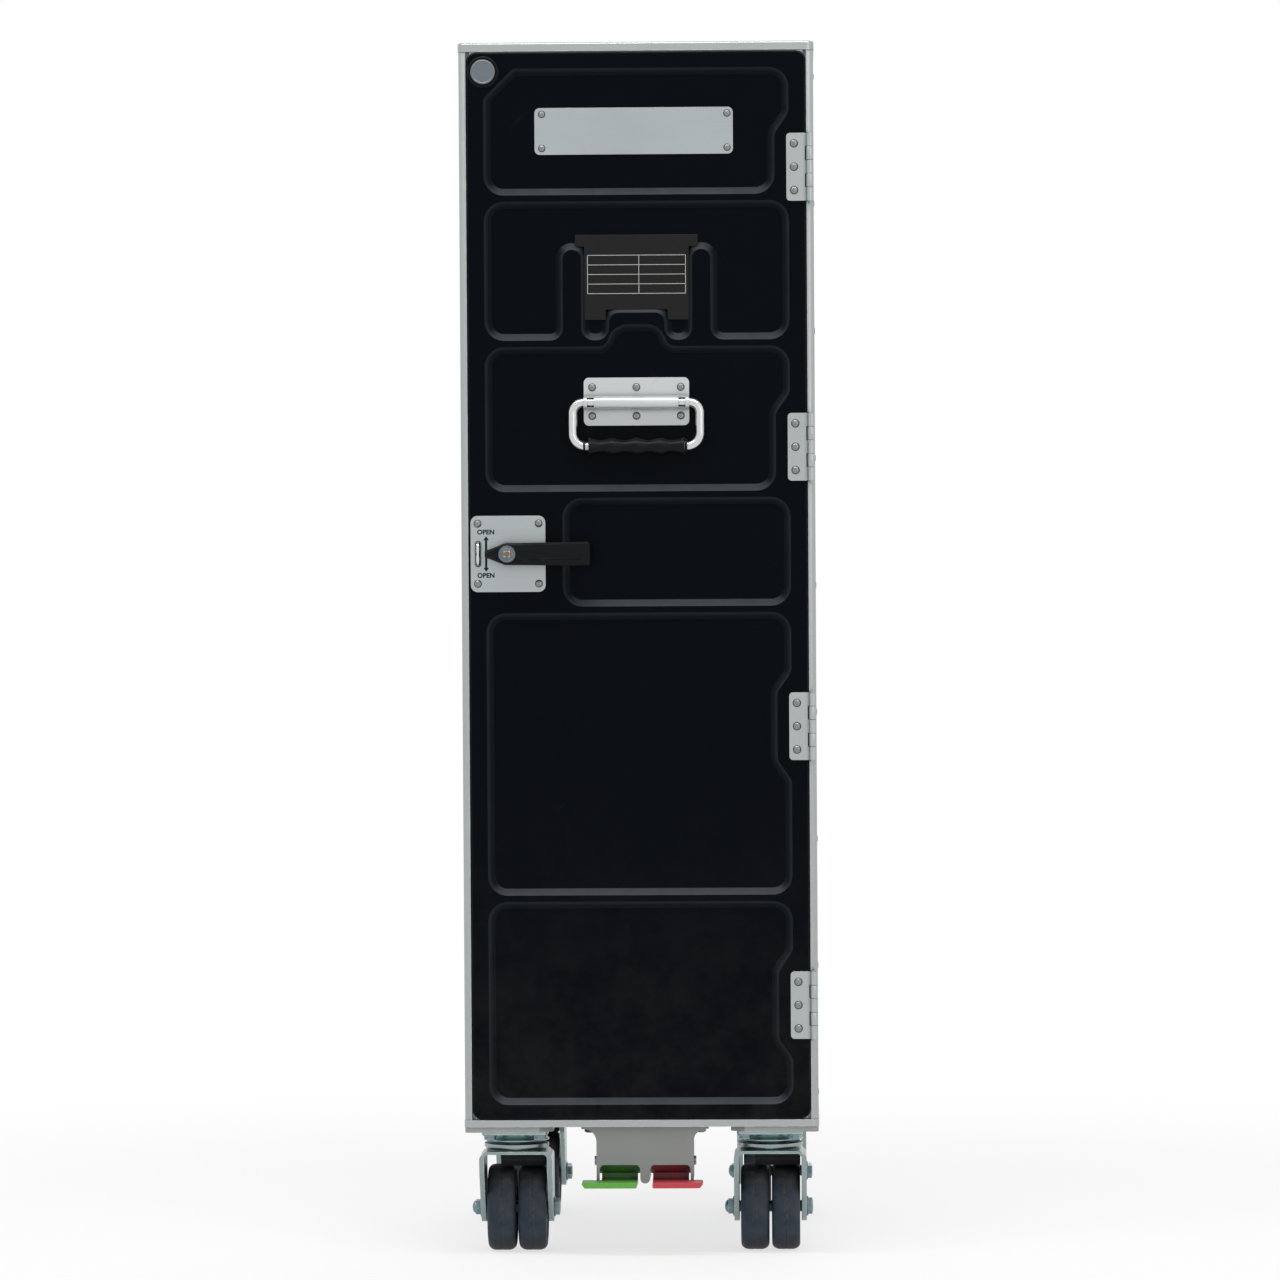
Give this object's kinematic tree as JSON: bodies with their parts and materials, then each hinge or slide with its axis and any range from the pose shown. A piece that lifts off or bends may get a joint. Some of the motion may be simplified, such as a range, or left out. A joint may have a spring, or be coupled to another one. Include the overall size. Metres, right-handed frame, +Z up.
{
  "type": "airline galley cart",
  "caption": "Half-size galley cart: narrow aluminium cabinet with a black moulded hinged door, turn latch, bail handle, brake pedals and twin-wheel swivel casters",
  "frame": {"origin": "on the floor, under the middle of the cart's overall box", "axes": "+Z up, the door faces -Y, its hinges are on the +X side"},
  "size_m": [0.305, 0.43, 1.045],
  "materials": {
    "anodised_frame": "satin silver anodised extrusion",
    "wall_panel": "light grey painted sandwich panel",
    "inner_sheet": "bare rolled sheet",
    "door_moulding": "near-black moulded skin, fine texture, scuffed",
    "seal_rubber": "dull grey seal",
    "card": "dark printed card",
    "satin_plate": "satin stainless sheet",
    "black_grip": "moulded black, semi-gloss",
    "base_plate": "mid grey, scuffed",
    "zinc_steel": "zinc plated, dulled",
    "caster_tyre": "dark blue-grey tread, worn",
    "release_green": "moulded green",
    "brake_red": "moulded red"
  },
  "bodies": {
    "cabinet": {"top_rim": "anodised_frame", "bottom_rim": "anodised_frame", "post_front_left": "anodised_frame", "post_front_right": "anodised_frame", "post_rear_left": "anodised_frame", "post_rear_right": "anodised_frame", "side_panel_left": "wall_panel", "side_panel_right": "wall_panel", "back_panel": "wall_panel", "worktop": "inner_sheet", "floor_panel": "inner_sheet", "tray_runners_left": "inner_sheet", "tray_runners_right": "inner_sheet", "hinge_frame_leaves": "satin_plate", "hinge_pins": "satin_plate", "pedal_bracket": "base_plate", "pedal_shaft": "zinc_steel", "corner_plate_front_left": "base_plate", "corner_plate_front_right": "base_plate", "corner_plate_rear_left": "base_plate", "corner_plate_rear_right": "base_plate", "caster_plate_front_left": "zinc_steel", "caster_plate_front_right": "zinc_steel", "caster_plate_rear_left": "zinc_steel", "caster_plate_rear_right": "zinc_steel"},
    "door": {"door_skin": "door_moulding", "door_inner_panel": "inner_sheet", "door_gasket": "seal_rubber", "data_card": "card", "name_plate": "satin_plate", "hold_open_magnet": "satin_plate", "hinge_door_leaves": "satin_plate", "handle_plate": "satin_plate", "latch_plate": "satin_plate", "seal_staple": "satin_plate"},
    "latch": {"latch_lever": "black_grip", "latch_spindle": "satin_plate", "latch_tongue": "satin_plate"},
    "bail": {"bail_rod": "satin_plate", "bail_grip": "black_grip"},
    "release": {"release_pedal": "release_green"},
    "brake": {"brake_pedal": "brake_red"},
    "caster_front_left": {"caster_fork_front_left": "zinc_steel", "caster_axle_front_left": "zinc_steel"},
    "wheel_front_left_inner_body": {"wheel_front_left_inner": "caster_tyre"},
    "wheel_front_left_outer_body": {"wheel_front_left_outer": "caster_tyre"},
    "caster_front_right": {"caster_fork_front_right": "zinc_steel", "caster_axle_front_right": "zinc_steel"},
    "wheel_front_right_inner_body": {"wheel_front_right_inner": "caster_tyre"},
    "wheel_front_right_outer_body": {"wheel_front_right_outer": "caster_tyre"},
    "caster_rear_left": {"caster_fork_rear_left": "zinc_steel", "caster_axle_rear_left": "zinc_steel"},
    "wheel_rear_left_inner_body": {"wheel_rear_left_inner": "caster_tyre"},
    "wheel_rear_left_outer_body": {"wheel_rear_left_outer": "caster_tyre"},
    "caster_rear_right": {"caster_fork_rear_right": "zinc_steel", "caster_axle_rear_right": "zinc_steel"},
    "wheel_rear_right_inner_body": {"wheel_rear_right_inner": "caster_tyre"},
    "wheel_rear_right_outer_body": {"wheel_rear_right_outer": "caster_tyre"}
  },
  "joints": [
    {"name": "door_hinge", "type": "hinge", "parent": "cabinet", "child": "door", "pos_m": [0.14875, -0.1936, 0.578], "axis": [0, 0, 1], "range_deg": [0, 245]},
    {"name": "latch_turn", "type": "hinge", "parent": "door", "child": "latch", "pos_m": [-0.1117, -0.2, 0.6073], "axis": [0, 1, 0], "range_deg": [-90, 90]},
    {"name": "bail_swing", "type": "hinge", "parent": "door", "child": "bail", "pos_m": [-0.0009, -0.19305, 0.7365], "axis": [1, 0, 0], "range_deg": [-90, 0]},
    {"name": "release_press", "type": "hinge", "parent": "cabinet", "child": "release", "pos_m": [-0.02, -0.146, 0.081], "axis": [1, 0, 0], "range_deg": [0, 10], "stiffness_Nm_per_rad": 1.5, "springref_deg": -2.86},
    {"name": "brake_press", "type": "hinge", "parent": "cabinet", "child": "brake", "pos_m": [0.02, -0.146, 0.081], "axis": [1, 0, 0], "range_deg": [0, 14]},
    {"name": "swivel_front_left", "type": "hinge", "parent": "cabinet", "child": "caster_front_left", "pos_m": [-0.11, -0.135, 0.09], "axis": [0, 0, 1], "continuous": true},
    {"name": "spin_front_left_inner", "type": "hinge", "parent": "caster_front_left", "child": "wheel_front_left_inner_body", "pos_m": [-0.1234, -0.113, 0.0375], "axis": [1, 0, 0], "continuous": true},
    {"name": "spin_front_left_outer", "type": "hinge", "parent": "caster_front_left", "child": "wheel_front_left_outer_body", "pos_m": [-0.0966, -0.113, 0.0375], "axis": [1, 0, 0], "continuous": true},
    {"name": "swivel_front_right", "type": "hinge", "parent": "cabinet", "child": "caster_front_right", "pos_m": [0.11, -0.135, 0.09], "axis": [0, 0, 1], "continuous": true},
    {"name": "spin_front_right_inner", "type": "hinge", "parent": "caster_front_right", "child": "wheel_front_right_inner_body", "pos_m": [0.0966, -0.113, 0.0375], "axis": [1, 0, 0], "continuous": true},
    {"name": "spin_front_right_outer", "type": "hinge", "parent": "caster_front_right", "child": "wheel_front_right_outer_body", "pos_m": [0.1234, -0.113, 0.0375], "axis": [1, 0, 0], "continuous": true},
    {"name": "swivel_rear_left", "type": "hinge", "parent": "cabinet", "child": "caster_rear_left", "pos_m": [-0.11, 0.155, 0.09], "axis": [0, 0, 1], "continuous": true},
    {"name": "spin_rear_left_inner", "type": "hinge", "parent": "caster_rear_left", "child": "wheel_rear_left_inner_body", "pos_m": [-0.1234, 0.177, 0.0375], "axis": [1, 0, 0], "continuous": true},
    {"name": "spin_rear_left_outer", "type": "hinge", "parent": "caster_rear_left", "child": "wheel_rear_left_outer_body", "pos_m": [-0.0966, 0.177, 0.0375], "axis": [1, 0, 0], "continuous": true},
    {"name": "swivel_rear_right", "type": "hinge", "parent": "cabinet", "child": "caster_rear_right", "pos_m": [0.11, 0.155, 0.09], "axis": [0, 0, 1], "continuous": true},
    {"name": "spin_rear_right_inner", "type": "hinge", "parent": "caster_rear_right", "child": "wheel_rear_right_inner_body", "pos_m": [0.0966, 0.177, 0.0375], "axis": [1, 0, 0], "continuous": true},
    {"name": "spin_rear_right_outer", "type": "hinge", "parent": "caster_rear_right", "child": "wheel_rear_right_outer_body", "pos_m": [0.1234, 0.177, 0.0375], "axis": [1, 0, 0], "continuous": true}
  ]
}
